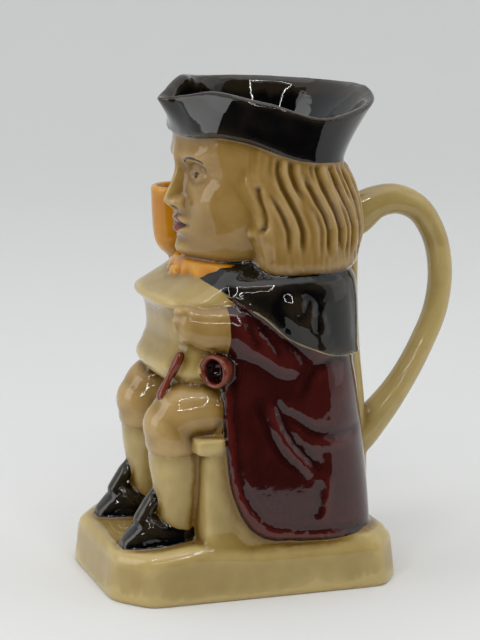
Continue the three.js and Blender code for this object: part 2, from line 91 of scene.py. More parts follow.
def route(points):
    # a smooth curve through points: gives the place and the heading at each share of its length
    spots = np.array(points, float)
    gaps = np.linalg.norm(np.diff(spots, axis=0), axis=1)
    places = np.concatenate([[0], np.cumsum(gaps)]) / gaps.sum()
    step = np.diff(places)
    slope = np.diff(spots, axis=0) / step[:, None]
    inner = (slope[:-1] * step[1:, None] + slope[1:] * step[:-1, None]) / (step[:-1] + step[1:])[:, None]
    tangent = np.vstack([slope[:1], inner, slope[-1:]])

    def at(share):
        i = np.clip(np.searchsorted(places, share, side="right") - 1, 0, len(step) - 1)
        h = step[i][:, None]
        t = ((share - places[i]) / step[i])[:, None]
        a, b, rise = tangent[i] * h, tangent[i + 1] * h, spots[i + 1] - spots[i]
        spot = spots[i] + t * (a + t * (3 * rise - 2 * a - b + t * (a + b - 2 * rise)))
        heading = a + t * (2 * (3 * rise - 2 * a - b) + 3 * t * (a + b - 2 * rise))
        return spot, heading / np.linalg.norm(heading, axis=1)[:, None]

    return at, places


def place(form, where):
    # moves every vertex to where a function of all vertices says
    spots = where(np.array([v.co for v in form.verts]))
    for vertex, spot in zip(form.verts, spots):
        vertex.co = spot
    bmesh.ops.recalc_face_normals(form, faces=form.faces)
    return form


def shell(around, up, where):
    # a closed tube placed by a function of its angle, its height from 0 to 1 and its distance out from 0 to 1
    form = bmesh.new()
    bmesh.ops.create_cone(form, cap_ends=True, cap_tris=True, segments=around, radius1=1, radius2=1, depth=1)
    upright = [e for e in form.edges if abs(e.verts[0].co.z - e.verts[1].co.z) > 0.5]
    bmesh.ops.subdivide_edges(form, edges=upright, cuts=up - 1, use_grid_fill=True)
    return place(
        form,
        lambda co: where(np.arctan2(co[:, 1], co[:, 0]), co[:, 2] + 0.5, np.hypot(co[:, 0], co[:, 1])),
    )


def sections(rows):
    # a row is height, half width, front, back, middle, squareness of the front and of the back, 2 being round
    at = through([row if len(row) == 7 else [*row, row[5]] for row in rows])

    def where(angle, z, out=1.0, offset=0.0):
        half, front, back, middle, squareFront, squareBack = at(z).T
        c = np.where(np.abs(np.cos(angle)) < 1e-5, 0, np.cos(angle))
        s = np.where(np.abs(np.sin(angle)) < 1e-5, 0, np.sin(angle))
        depth = np.where(s > 0, back - middle, middle - front) + offset
        power = 2 / np.where(s > 0, squareBack, squareFront)
        x = out * (half + offset) * np.sign(c) * np.abs(c) ** power
        return np.column_stack([x, middle + out * depth * np.sign(s) * np.abs(s) ** power, z])

    return where


def stack(rows, around, up, offset=None):
    # the sections joined from the first height to the last, pushed out by an offset where one is given
    where = sections(rows)

    def at(angle, share, out):
        z = rows[0][0] + (rows[-1][0] - rows[0][0]) * share
        plain = where(angle, z, out)
        return plain if offset is None else where(angle, z, out, offset(plain[:, 0], plain[:, 1], z))

    return shell(around, up, at)


def limb(rows, around=40, up=60):
    # a round-ended limb along a smooth curve: each row is x, y, z and the radii across and along the bend
    curve, places = route([row[:3] for row in rows])
    radii = through([[share, row[3], row[-1]] for share, row in zip(places, rows)])
    cap = 0.15  # share of the tube's rows that round off each end

    def at(angle, share, out):
        middle = np.clip((share - cap) / (1 - 2 * cap), 0, 1)
        spot, heading = curve(middle)
        side = np.array([1.0, 0, 0]) - heading * heading[:, :1]
        side /= np.linalg.norm(side, axis=1)[:, None]
        across, bend = radii(middle).T
        beyond = np.where(share < cap, share / cap - 1, np.where(share > 1 - cap, (share - 1) / cap + 1, 0))
        turn = beyond * math.pi / 2
        wide = np.cos(turn) * out
        spot = spot + side * (np.cos(angle) * across * wide)[:, None]
        spot = spot + np.cross(heading, side) * (np.sin(angle) * bend * wide)[:, None]
        return spot + heading * (np.sin(turn) * np.minimum(across, bend))[:, None]

    return shell(around, up, at)


def ball(middle, radii):
    form = bmesh.new()
    bmesh.ops.create_uvsphere(form, u_segments=40, v_segments=24, radius=1)
    bmesh.ops.scale(form, vec=radii, verts=form.verts)
    bmesh.ops.translate(form, vec=middle, verts=form.verts)
    return form


def turned(profile, steps=64):
    # a profile of radius and height turned about Z
    form = bmesh.new()
    chain = [form.verts.new((radius, 0, z)) for radius, z in profile]
    edges = [form.edges.new(pair) for pair in zip(chain, chain[1:])]
    bmesh.ops.spin(form, geom=chain + edges, axis=(0, 0, 1), cent=(0, 0, 0), angle=math.tau, steps=steps,
                   use_merge=True)
    bmesh.ops.remove_doubles(form, verts=form.verts, dist=1e-4)
    bmesh.ops.recalc_face_normals(form, faces=form.faces)
    return form


def prism(corners, levels, around=360, lift=None):
    # a block with a convex outline from above, drawn in by an inset at each level
    ring = np.array(corners + [(-x, y) for x, y in reversed(corners)], float)
    along = np.roll(ring, -1, axis=0) - ring
    normals = np.column_stack([along[:, 1], -along[:, 0]])
    normals /= np.linalg.norm(normals, axis=1)[:, None]
    distances = (normals * ring).sum(1)
    heights, insets = np.array(levels, float).T
    lengths = np.concatenate([[0], np.cumsum(np.hypot(np.diff(heights), np.diff(insets)))])
    sharpness = 46  # how tight the outline's corners turn

    def at(angle, share, out):
        run = share * lengths[-1]
        z, inset = np.interp(run, lengths, heights), np.interp(run, lengths, insets)
        heading = np.column_stack([np.cos(angle), np.sin(angle)])
        facing = np.clip(heading @ normals.T, 0, None)
        reach = ((facing / (distances - inset[:, None])) ** sharpness).sum(1) ** (-1 / sharpness) * out
        x, y = reach * np.cos(angle), reach * np.sin(angle)
        return np.column_stack([x, y, z + (0 if lift is None else lift(y, z))])

    return shell(around, 48, at)


def mirrored(form):
    twin = form.copy()
    bmesh.ops.scale(twin, vec=(-1, 1, 1), verts=twin.verts)
    bmesh.ops.reverse_faces(twin, faces=twin.faces)
    return twin


def moved(form, vec):
    bmesh.ops.translate(form, vec=vec, verts=form.verts)
    return form


def fromPath(spots, path):
    # distance from a given path, and the share of the path's length passed
    best, passed = np.full(len(spots), 1e9), np.zeros(len(spots))
    corners = np.array(path, float)
    gaps = np.linalg.norm(np.diff(corners, axis=0), axis=1)
    starts = np.concatenate([[0], np.cumsum(gaps)])
    for a, b, gap, start in zip(corners, corners[1:], gaps, starts):
        t = np.clip((spots - a) @ (b - a) / gap**2, 0, 1)
        apart = np.linalg.norm(spots - a - t[:, None] * (b - a), axis=1)
        passed = np.where(apart < best, (start + t * gap) / starts[-1], passed)
        best = np.minimum(best, apart)
    return best, passed


def curved(path, count=24):
    # the same path with smooth turns
    at, _ = route(path)
    return at(np.linspace(0, 1, count))[0]


def stroke(spots, path, width, height, taper=0.22):
    # a ridge or, with a negative height, a groove along a path, fading out at its ends
    push = np.zeros(len(spots))
    corners, reach = curved(path), 3 * width
    close = np.flatnonzero(((spots > corners.min(0) - reach) & (spots < corners.max(0) + reach)).all(1))
    distance, share = fromPath(spots[close], corners)
    fade = smooth(0, taper, share) * smooth(1, 1 - taper, share)
    push[close] = height * fade * np.exp(-((distance / width) ** 2))
    return push


# the forms of the jug by the glaze that covers them; cloth is glazed maroon, and black above the cape's edge
glazes = {"cream": {}, "honey": {}, "black": {}, "cloth": {}, "maroon": {}, "amber": {}}


def cast(name, dip, *forms):
    glazes[dip].setdefault(name, []).extend(forms)


# ---- plinth and seat
plinth = {
    "halfFront": 49, "halfBack": 59, "length": 141, "corner": 16, "top": 23.3, "seatTop": 26.4,
    "edge": [[0, 0.8], [1.2, 0], [18.6, 1.9], [20.6, 2.5], [22.1, 3.6], [23, 5], [23.3, 7]],
}
seat = {
    "front": -29, "capFront": -32.4, "capLow": 69.5, "top": 76.8, "half": 47.2,
    "skirt": [[12, 2.2], [19, 3.2], [23, 4.4], [26, 5.9], [29, 9], [31.5, 13], [33.5, 18], [34.5, 23]],
}


def plinthCorners(front, frontCut):
    # the left half of the outline, its corners cut off; the plinth widens to the rear
    def half(y):
        share = y / plinth["length"] + 0.5
        return plinth["halfFront"] + (plinth["halfBack"] - plinth["halfFront"]) * share

    rear, cut = plinth["length"] / 2, plinth["corner"]
    return [
        (half(front) - frontCut, front),
        (half(front + frontCut), front + frontCut * 0.9),
        (half(rear - cut), rear - cut * 0.8),
        (half(rear) - cut, rear),
    ]


def climb(y, z):
    # the plinth's top rises a little from the toes to the seat
    rise = smooth(-66, seat["front"], y) * smooth(0, seat["front"], y)
    return (plinth["seatTop"] - plinth["top"]) * rise * (z / plinth["top"]) ** 2


def sink(y, z):
    # under the coat the fillet of the seat lies lower
    return -6 * smooth(-12, 16, y) * smooth(23, 34, z)


def buildPlinth():
    rear = plinth["length"] / 2
    slab = prism(plinthCorners(-rear, plinth["corner"]), plinth["edge"], lift=climb)
    skirt = prism(plinthCorners(seat["front"], 3), seat["skirt"], lift=sink)
    half, front, low, top = seat["half"], seat["front"], seat["capLow"], seat["top"]
    block = stack(
        [[10, half + 3.4, front - 0.6, 8, -10, 12], [24, half + 1.6, front - 0.3, 8, -10, 12],
         [34, half, front, 8, -10, 12], [low + 3, half - 0.4, front, 8, -10, 12]],
        240, 60,
    )
    edge = seat["capFront"]
    ledge = stack(
        [[low, half - 0.2, edge + 0.7, -19, -25, 12], [low + 1, half + 0.5, edge, -19, -25, 12],
         [top - 1, half + 0.5, edge, -19, -25, 12], [top, half - 0.4, edge + 1, -19, -25, 12]],
        200, 14,
    )
    cast("plinth", "cream", slab)
    cast("seat", "cream", skirt, block, ledge)


# ---- body, coat and cape
body = {
    "rows": [
        [18, 49.5, -20, 61, 18, 7, 4.4],
        [40, 48.5, -24, 61.3, 18, 7, 3.6],
        [70, 47.5, -26, 60, 18, 7, 3],
        [90, 46, -25, 57.5, 18, 5, 2.9],
        [112, 45, -23, 55, 18, 4, 2.8],
        [132, 44.5, -22, 55, 18, 3.2, 2.7],
        [146, 43, -21, 54, 18, 2.8, 2.6],
        [154, 38, -17, 52, 18, 2.4, 2.4],
        [160, 30, -10, 48, 18, 2, 2],
    ],
}
coat = {
    # side view: the front edge from the chest down, and the swept hem
    "edge": [(-16, 150), (-17.8, 105), (-18.2, 80), (-17.6, 69.8), (-14, 48), (-8, 35.6), (-2, 29.6),
             (8.1, 26.2), (20, 25), (35, 23.6), (56, 20), (90, 14)],
    "proud": 2.5, "flare": 1.6,  # how far it stands out from the body, and how much more at the foot
    "back": 0.2,  # the share of that which is left at the back
    "puff": 2.0,  # the bulge over the seat
    "sunk": 3,  # how deep it goes into the body beyond its edge
    "hem": 3.2, "corner": 2.0,  # width of the rounded hem, and how much wider it is at the swept corner
    # the hem's rounding, then height and width of the ridge and groove along it, and how far in the groove is
    "roll": 1.5, "ridge": (0.6, 1.1), "groove": (0.6, 1.4, 2.2),
}
cape = {
    # side view: where the cape's edge falls from the breast to the small of the back
    "edge": [(-40, 158), (-24, 148.5), (-10.2, 139.1), (0.5, 132), (11.8, 122), (25.5, 115.5), (36, 111.6),
             (46, 110), (58, 106), (75, 102)],
    "proud": 3.6, "sunk": 3, "ridge": (0.5, 1.4),
}
coatEdge = curved(coat["edge"], 80)
capeEdge = curved(cape["edge"], 60)


def insideCoat(side):
    # distance in from the coat's edge in side view, negative outside it
    distance, _ = fromPath(side, coatEdge)
    edge = np.interp(side[:, 1], coatEdge[::-1, 1], coatEdge[::-1, 0])
    return np.where(side[:, 0] > edge, distance, -distance)


def aboveCape(side):
    distance, _ = fromPath(side, capeEdge)
    edge = np.interp(side[:, 0], capeEdge[:, 0], capeEdge[:, 1])
    return np.where(side[:, 1] > edge, distance, -distance)


def coatOffset(x, y, z):
    side = np.column_stack([y, z])
    inside = insideCoat(side)
    wide = coat["hem"] + coat["corner"] * bump(y, z, -6, 34, 11, 11)
    (ridge, ridgeWide), (groove, grooveWide, beyond) = coat["ridge"], coat["groove"]
    rolled = -coat["roll"] * smooth(wide, 0, inside) + ridge * np.exp(-(((inside - wide) / ridgeWide) ** 2))
    rolled -= groove * np.exp(-(((inside - wide - beyond) / grooveWide) ** 2))
    toBack = 1 - (1 - coat["back"]) * smooth(24, 56, y)
    proud = (coat["proud"] + coat["flare"] * smooth(90, 30, z)) * toBack + rolled
    proud += coat["puff"] * bump(y, z, 33, 93, 17, 14)
    return -coat["sunk"] + (proud + coat["sunk"]) * smooth(-0.9, 0.9, inside)


def capeOffset(x, y, z):
    side = np.column_stack([y, z])
    above = aboveCape(side)
    ridge, wide = cape["ridge"]
    proud = cape["proud"] * smooth(156, 144, z) + ridge * np.exp(-(((above - 1.2) / wide) ** 2))
    return -cape["sunk"] + (proud + cape["sunk"]) * smooth(-0.8, 0.8, above)


def buildBody():
    rows = body["rows"]
    cast("body", "cream", stack(rows, 260, 120))
    cast("robe", "cloth", stack(rows[:-2], 420, 230, coatOffset), stack(rows[3:-1], 420, 130, capeOffset))


# ---- waistcoat, neckcloth, fob and pocket
waistcoat = {
    "rows": [
        [96, 31, -32, 0, -6, 3.2],
        [99.5, 35.5, -38, 0, -6, 3.4],
        [102, 37, -40.2, 0, -6, 3.5],
        [105.5, 38, -41.6, 0, -6, 3.5],
        [112, 38, -38.5, 0, -6, 3.4],
        [119, 37, -36.5, 0, -6, 3.3],
        [128, 37, -37, 0, -6, 3.3],
        [134, 38.4, -39.4, 0, -6, 3.2],
        [136.4, 40, -42.8, 0, -6, 3],
        [138, 40.4, -43, 0, -6, 2.9],
        [142, 39.3, -36.6, 0, -6, 2.8],
        [147, 38, -27.5, 4, -4, 2.6],
        [153, 34, -20, 4, -2, 2.4],
    ],
}
neckcloth = {
    "rows": [[143.5, 28.5, -23.8, 0, -6, 2.4], [146, 31, -26.6, 0, -6, 2.4], [149, 31.4, -26.8, 0, -6, 2.4],
             [154, 29, -23.5, 0, -6, 2.3]],
    "ruffles": 17, "ruffle": 1.1, "knot": ((0, -27.4, 147.6), (4.6, 2.2, 3.2)),
}
fob = [[30, -35.2, 114, 2.6, 1.8], [29.4, -37, 110, 3.3, 1.9], [28.6, -39.4, 104.5, 1.8, 1.7],
       [28, -41.8, 99.5, 2.6, 1.8], [27.4, -43.8, 95, 3.4, 1.9]]
pocket = {
    "middle": (42, -21.4, 108), "turn": math.pi * 1.16, "inside": 7.4,
    # radius and height of the rolled flap
    "profile": [(0, -7), (5.4, -7), (6.8, -4), (7.6, -0.6), (8.1, 1.4), (7.9, 2.7), (7.1, 3.3), (6.2, 2.9),
                (5.6, 1.4), (5, -1.6), (3, -4.6), (0, -6)],
}


def buildDress():
    cast("waistcoat", "cream", stack(waistcoat["rows"], 260, 90))

    def ruffle(x, y, z):
        turn = np.arctan2(x, -y - 6)
        wave = np.sin(turn * neckcloth["ruffles"] + 2 * np.sin(turn * 3.7) + z * 0.5)
        return neckcloth["ruffle"] * wave * smooth(153, 147, z)

    knot = ball(*neckcloth["knot"])
    cast("neckcloth", "amber", stack(neckcloth["rows"], 240, 24, ruffle), knot)
    roll = turned(pocket["profile"])
    bmesh.ops.rotate(roll, matrix=Matrix.Rotation(-math.pi / 2, 3, "X"), verts=roll.verts)
    bmesh.ops.rotate(roll, matrix=Matrix.Rotation(pocket["turn"], 3, "Z"), verts=roll.verts)
    cast("trimmings", "maroon", limb(fob, 24, 40), moved(roll, pocket["middle"]))


# ---- legs and shoes
leg = {
    "across": 26,
    "thigh": [[28, -6, 86, 14.5, 13], [28, -20, 87, 15.6, 15], [27, -31, 86, 15.6, 15.2],
              [26, -38, 80, 14.5, 13.4]],
    "breeches": [[67.8, 12.6, -11, 11.5, 0, 2.4], [68.6, 14, -12.2, 12, 0, 2.4],
                 [70.5, 14.7, -12.9, 12.4, 0, 2.4], [78, 14.9, -13.2, 12, 0, 2.4], [86, 13, -12, 10, 0, 2.4]],
    "stocking": [[20, 8.2, -8, 7.2, 0, 2.2, 3.2], [34, 8.8, -8.6, 7.4, 0, 2.2, 3.4],
                 [48, 11.2, -9.8, 8.6, 0, 2.3, 3.8], [62, 13, -11.6, 9.4, 0, 2.4, 4],
                 [72, 13.2, -12, 9.6, 0, 2.4, 4]],
    "knee": -36.8, "calf": -36.7,
}
shoe = {
    "heel": -29.7, "toe": -63, "sole": 22,
    # share of the length from heel to toe, half width and height of the top
    "upper": [[0, 8.2, 34.6], [0.1, 9.6, 35.4], [0.3, 10.6, 35.6], [0.46, 10.8, 36.4], [0.54, 10.5, 38],
              [0.62, 10, 39.2], [0.7, 9.4, 37], [0.8, 8.4, 33.6], [0.9, 7, 30.2], [1, 4.4, 26.8]],
    "tongue": [[0, -53.6, 35.6, 5.2, 3.4], [0, -50, 41.6, 5.2, 3.2], [0, -47.6, 45.8, 4.4, 2.9],
               [0, -46.6, 48, 2.8, 2.2]],
    "farBack": 3,  # the far foot stands this much further back
}


def buildLegs():
    thigh = limb(leg["thigh"], 60, 60)
    breeches = moved(stack(leg["breeches"], 80, 30), (leg["across"], leg["knee"], 0))
    stocking = moved(stack(leg["stocking"], 80, 60), (leg["across"], leg["calf"], 0))
    run = through(shoe["upper"])

    def upper(angle, share, out):
        (half, top), c, s = run(share).T, np.cos(angle), np.sin(angle)
        rise = np.where(s > 0, (top - shoe["sole"]) * np.abs(s) ** 0.62, 1.5 * s)
        along = shoe["heel"] + (shoe["toe"] - shoe["heel"]) * share
        return np.column_stack([half * out * np.sign(c) * np.abs(c) ** 0.7, along, shoe["sole"] + out * rise])

    parts = [shell(60, 50, upper), limb(shoe["tongue"])]
    black = [moved(part, (leg["across"], 0, 0)) for part in parts]
    far = (0, shoe["farBack"], 0)
    cast("breeches", "honey", thigh, breeches, moved(mirrored(thigh), far), moved(mirrored(breeches), far))
    cast("stockings", "cream", stocking, moved(mirrored(stocking), far))
    cast("shoes", "black", *black, *[moved(mirrored(part), far) for part in black])


# ---- arms, hands and beaker
arm = {
    "shoulder": [[32.5, 7, 139, 12, 11], [36.6, 15, 135, 13.4, 14], [36.5, 27, 116, 12.4, 16]],
    "near": [[34, 30, 99, 11, 14], [37.6, 15, 107, 11.2, 15], [38.5, 0, 118, 10, 13.4],
             [38.4, -11, 126, 8.8, 11.6]],
    "palm": [[38.4, -11, 126.4, 8.2, 11.2], [36.6, -22, 127, 8, 10.8], [34, -30, 128.8, 7, 9]],
    "far": [[-38, 26, 100, 13, 16], [-43, 13, 113, 12, 13], [-46, 0, 128, 9.5, 10], [-46.5, -7, 141, 7, 8]],
    "wrist": [[-46.5, -7, 139, 6, 7], [-47.5, -6, 147, 7, 8], [-50.5, -1, 156, 6, 8], [-52, 3, 166, 4, 6]],
}
cup = {
    "foot": (-47, -9, 147), "radius": 13.5,
    # radius, height above the foot
    "profile": [(0, -2), (4.4, -2), (5.4, -1.2), (7, 0.4), (9.4, 2.4), (11.4, 5.2), (12.7, 9), (13.4, 15),
                (13.9, 30), (14, 33.4), (13.6, 34.6), (12.6, 35), (11.4, 34.4), (10.8, 32.8), (10.6, 31.6),
                (0, 31.4)],
    "fingers": [100, 122, 145, 170, 196],  # degrees round the cup at a finger's joints
    "grip": 172.4, "finger": 5.4,  # height of the top finger, and from one to the next
}


def buildArms():
    shoulder, near = (limb(arm[name], 80, 70) for name in ("shoulder", "near"))
    cast("robe", "cloth", shoulder, mirrored(shoulder), near)
    cast("sleeves", "maroon", limb(arm["far"], 70, 60))
    fingers = []
    for i, reach in enumerate([0, 0.8, 0, -2.4]):
        z = 135 - i * 4.3
        fingers.append(limb([[35.5, -24, z - 1.4, 4.4, 3.2], [33, -32.5 - reach, z, 4.2, 2.9],
                             [31, -35.6 - reach, z, 3.2, 2.5]], 28, 40))
    grip = []
    reach, (cupX, cupY, _) = cup["radius"] + 1.4, cup["foot"]
    for i in range(4):
        path = []
        for a in np.radians(cup["fingers"]):
            z = cup["grip"] - i * cup["finger"]
            path.append([cupX + reach * math.cos(a), cupY + reach * math.sin(a), z, 3, 3])
        grip.append(limb(path, 28, 50))
    cast("hands", "honey", limb(arm["palm"], 60, 50), limb(arm["wrist"], 40, 50), *fingers, *grip)
    cast("beaker", "amber", moved(turned(cup["profile"]), cup["foot"]))


# ---- head: a calm, regular face of its own, framed by hair swept back in locks
face = {
    # height, half width, front, back, middle, squareness
    "rows": [
        [150, 19, -11, 30, 8, 2],
        [153, 28, -18, 40, 8, 2],
        [159, 34.5, -23, 50, 8, 2.05],
        [170, 39, -24, 54, 8, 2.1],
        [184, 41.5, -23.5, 54, 8, 2.1],
        [198, 41.5, -24, 50, 8, 2.1],
        [208, 41, -25, 46, 8, 2.1],
        [218, 40, -25, 44, 8, 2.1],
    ],
    # height, how far the nose stands out and its half width
    "nose": [[175.5, 0, 5.4], [178.6, 5.4, 5.2], [182, 9, 4.6], [185, 8, 3.9], [191, 5, 3.4], [198, 2.6, 3.4],
             [206, 1, 5], [210, 0, 5]],
    "eye": (14.2, 194.8), "mouth": 170.6,
}
hair = {
    "rows": [
        [149, 41.5, 2, 56.5, 22, 4, 2.4],
        [152, 44, -1, 59.5, 22, 4, 2.4],
        [158, 45, -2, 61, 22, 4, 2.4],
        [168, 45.6, -6, 62.5, 22, 4, 2.4],
        [180, 45.4, -9, 61, 22, 4, 2.4],
        [192, 44.6, -13, 57, 22, 4, 2.4],
        [203, 43.6, -10, 50, 20, 4, 2.4],
        [213, 43, -9, 47, 19, 4, 2.4],
    ],
    "middle": 20,
    # how far a lock has swept back at each height, in degrees
    "sweep": [[150, 15], [169, 14.9], [176, 12.4], [184, 7.3], [193, 1.5], [199, -0.6], [214, 0]],
    # grooves between locks: degrees from the front at the hat, top, foot, width and depth
    "grooves": [
        [66, 189, 160, 1.3, 1.5], [71, 208, 193, 1.2, 0.9], [75, 207, 160, 1.4, 2.1],
        [79.5, 186, 160, 1.1, 0.9], [83, 207, 186, 1.3, 1.8], [86.6, 183, 158, 1.1, 1.0],
        [91.3, 197, 158, 1.4, 2.1], [95.4, 208, 190, 1.1, 1.0], [99.8, 208, 160, 1.4, 2.0],
        [105.5, 184, 156, 1.2, 1.1], [110.6, 206, 157, 1.4, 1.9], [116, 204, 180, 1.2, 1.2],
        [121.6, 201, 156, 1.4, 1.9], [127, 182, 156, 1.2, 1.1], [132, 203, 156, 1.4, 1.8],
        [138, 204, 176, 1.2, 1.2], [143.6, 198, 156, 1.4, 1.8], [150, 203, 160, 1.4, 1.6],
        [157, 190, 156, 1.3, 1.6], [164, 204, 160, 1.4, 1.6],
    ],
}
# the lock beside the jaw turns forwards and up at its foot, round a small lobe
curl = {
    "groove": [(-1.5, 193), (-0.6, 186), (1.4, 180), (2.2, 175.4), (1.2, 171.8), (-1.2, 171)],
    "width": 1.35, "deep": 1.9, "lobe": (-3.2, 169.6, 2.2), "raised": 1.3,
}
hat = {
    "middle": 17, "wall": 5.5, "brim": 5, "round": 2.2,
    "crown": [44.8, -26, 51, 14, 2.7],  # the outline at its foot, as in the sections of the head
    "turnsAt": 0.86, "turn": 0.06,  # where the rounded lip begins, and the share of the height it takes
    # degrees from the front towards the sitter's left, reach of the lip and its height
    "lip": [[-180, 55, 232.5], [-133, 52, 233.5], [-105, 50.5, 234.5], [-72, 47.5, 235.5], [-35, 41, 238],
            [-13, 46.5, 233.5], [0, 53, 230], [13, 46.5, 231.5], [35, 41.5, 234], [72, 47.5, 230],
            [105, 50.5, 222.5], [133, 52.5, 225.5], [180, 55, 232.5]],
    # height of its foot from the front to the back
    "foot": [[-27, 212.5], [-18, 215], [-8, 213.3], [8, 207], [20, 203.2], [34, 201.5], [53, 200.5]],
}


def headRelief(x, z):
    # the face's large forms in front of its plain oval
    s = np.abs(x)
    bridge, width = through(face["nose"])(z).T
    eyeX, eyeZ = face["eye"]
    mouth = face["mouth"]
    forms = 2 * bump(s, z, 13, 202.4, 9, 3.4) + 0.8 * bump(s, z, 0, 203, 7, 6)
    forms += -4.4 * bump(s, z, eyeX, eyeZ + 0.8, 8, 4.8) + bridge * np.exp(-((s / width) ** 2))
    forms += 3.4 * bump(s, z, 5.8, 181, 2.9, 2.9) + 2.6 * bump(s, z, 22, 182, 9.5, 8.5)
    forms += 2.0 * bump(s, z, 0, mouth, 13, 7) - 1.2 * bump(s, z, 0, 163.4, 8, 2)
    return forms + 3.6 * bump(s, z, 0, 158.4, 8.6, 4.6)


def faceDetail(x, z):
    # small forms: eyeballs and lids, wings and holes of the nose, lips
    s = np.abs(x)
    eyeX, eyeZ = face["eye"]
    mouth = face["mouth"]
    fine = 3.4 * bump(s, z, eyeX, eyeZ, 5.2, 3.2)
    lid = eyeZ + 3.1 - ((s - eyeX) / 6.4) ** 2 * 2.6
    under = eyeZ - 2.9 + ((s - eyeX) / 6.4) ** 2 * 2.3
    reach = smooth(7.6, 5.4, np.abs(s - eyeX))
    for middle, wide, height in ((lid, 0.8, 0.75), (lid + 1.9, 0.9, -0.6), (under, 0.7, 0.55),
                                 (under - 1.5, 0.9, -0.3)):
        fine += reach * height * np.exp(-(((z - middle) / wide) ** 2))
    fine += -1.5 * bump(s, z, 3.4, 178.4, 1.5, 0.9) - 0.7 * bump(s, z, 8.6, 181.4, 0.9, 2.6)
    bow = mouth + 0.5 * np.cos(s * 0.5)
    part = np.exp(-(((z - bow) / 0.65) ** 2)) * smooth(10.2, 7.8, s)
    upper = 1.5 * bump(s, z, 2.6, mouth + 2.4, 6.2, 1.6) + 0.5 * bump(s, z, 0, mouth + 4, 1.2, 1.4)
    lower = 1.9 * bump(s, z, 0, mouth - 2.4, 6.4, 1.8)
    return fine - 1.5 * part + upper + lower - 0.8 * bump(s, z, 10.4, mouth + 0.3, 1.2, 1.2)


def hairDetail(x, y, z):
    # grooves between locks, the same on both sides, and fine strands along them
    degrees = np.degrees(np.arctan2(np.abs(x), hair["middle"] - y))
    swept = degrees - through(hair["sweep"])(z)[:, 0] * smooth(176, 150, degrees)
    radius = np.hypot(x, y - hair["middle"])
    depth = np.zeros(len(x))
    for degree, top, foot, width, deep in hair["grooves"]:
        off = np.radians(swept - degree) * radius
        fade = smooth(top + 1, top - 7, z) * smooth(foot - 2, foot + 7, z)
        depth -= deep * fade * np.exp(-((off / width) ** 2))
        depth += 0.35 * deep * fade * np.exp(-(((off - 2.4 * width) / width) ** 2))
    phase = np.radians(swept) * radius
    strands = 0.07 * np.sin(phase * 2.1 + 1.2 * np.sin(z * 0.21 + phase * 0.3)) + 0.06 * np.sin(phase * 1.13)
    depth += stroke(np.column_stack([y, z]), curl["groove"], curl["width"], -curl["deep"], 0.1)
    lobeY, lobeZ, lobe = curl["lobe"]
    depth += curl["raised"] * bump(y, z, lobeY, lobeZ, lobe, lobe) * (np.abs(x) > 20)
    return (depth + strands) * smooth(0.4, 3.4, through(hat["foot"])(y)[:, 0] - z)


def lipAt(angle):
    degrees = np.degrees(np.arctan2(np.cos(angle), -np.sin(angle)))
    return through(hat["lip"])(degrees).T


def hatFoot(angle):
    # the hat's outline where it meets the head
    foot = sections([[0, *hat["crown"]], [1, *hat["crown"]]])(angle, np.zeros(len(angle)))
    foot[:, 2] = through(hat["foot"])(foot[:, 1])[:, 0]
    return foot.T


def hatSide(angle, up, inset=0.0):
    # a point on the hat's side: up runs from the foot to the lip, and inset draws it in
    (reach, top), (footX, footY, low) = lipAt(angle), hatFoot(angle)
    flare = up**1.3
    x = footX + (reach * np.cos(angle) - footX) * flare
    y = footY - hat["middle"] + (reach * np.sin(angle) - footY + hat["middle"]) * flare
    share = 1 - inset / np.hypot(x, y)
    return np.column_stack([x * share, hat["middle"] + y * share, low + (top - low) * up])


def capped(spots, share, out, low, high):
    # the middles of the two end caps of a shell round the hat's middle
    core = np.column_stack([0 * share, hat["middle"] + 0 * share, np.where(share < 0.5, low, high)])
    return np.where((out < 0.5)[:, None], core, spots)


def buildHead():
    rows = face["rows"]
    where = sections(rows)

    def skin(angle, share, out):
        fromFront = np.arctan2(np.cos(angle), -np.sin(angle))
        drawn = fromFront - 0.6 * np.sin(fromFront)  # columns drawn to the front
        spots = where(drawn - math.pi / 2, rows[0][0] + (rows[-1][0] - rows[0][0]) * share, out)
        spots[:, 1] -= out * headRelief(spots[:, 0], spots[:, 2]) * smooth(8, -14, spots[:, 1])
        return spots

    cast("face", "honey", shell(300, 150, skin))
    cast("hair", "honey", stack(hair["rows"], 320, 120))

    def felt(angle, share, out):
        # the last rows turn in over a rounded lip
        turnsAt = hat["turnsAt"]
        turn = np.clip((share - turnsAt) / (1 - turnsAt), 0, 1) * math.pi / 2
        up = np.minimum(share / turnsAt, 1) * (1 - hat["turn"])
        spots = hatSide(angle, up, hat["round"] * (1 - np.cos(turn)))
        spots[:, 2] += (lipAt(angle)[1] - hatFoot(angle)[2]) * hat["turn"] * np.sin(turn)
        return capped(spots, share, out, 199, 222)

    cast("hat", "black", shell(420, 60, felt))


# ---- handle and rib
handle = [[0, 54, 166, 8.6, 13], [0, 66, 170, 8, 10.5], [0, 76, 175, 7.4, 8.2], [0, 86, 176.2, 7.2, 7.4],
          [0, 98, 171.2, 7, 6.6], [0, 106.8, 159, 7, 6.1], [0, 111.2, 140, 7, 5.9], [0, 109, 120, 7, 5.8],
          [0, 102, 103.5, 7, 5.9], [0, 91.5, 85.5, 7.2, 6.4], [0, 79, 70, 7.6, 8], [0, 66, 58, 8.4, 10],
          [0, 57, 51, 8.6, 10]]
rib = [[0, 60, 154, 8, 6], [0, 60, 135, 8, 6], [0, 61.5, 105, 8, 6], [0, 64.5, 75, 8, 6], [0, 66, 45, 8, 6],
       [0, 65.5, 18, 8, 6]]

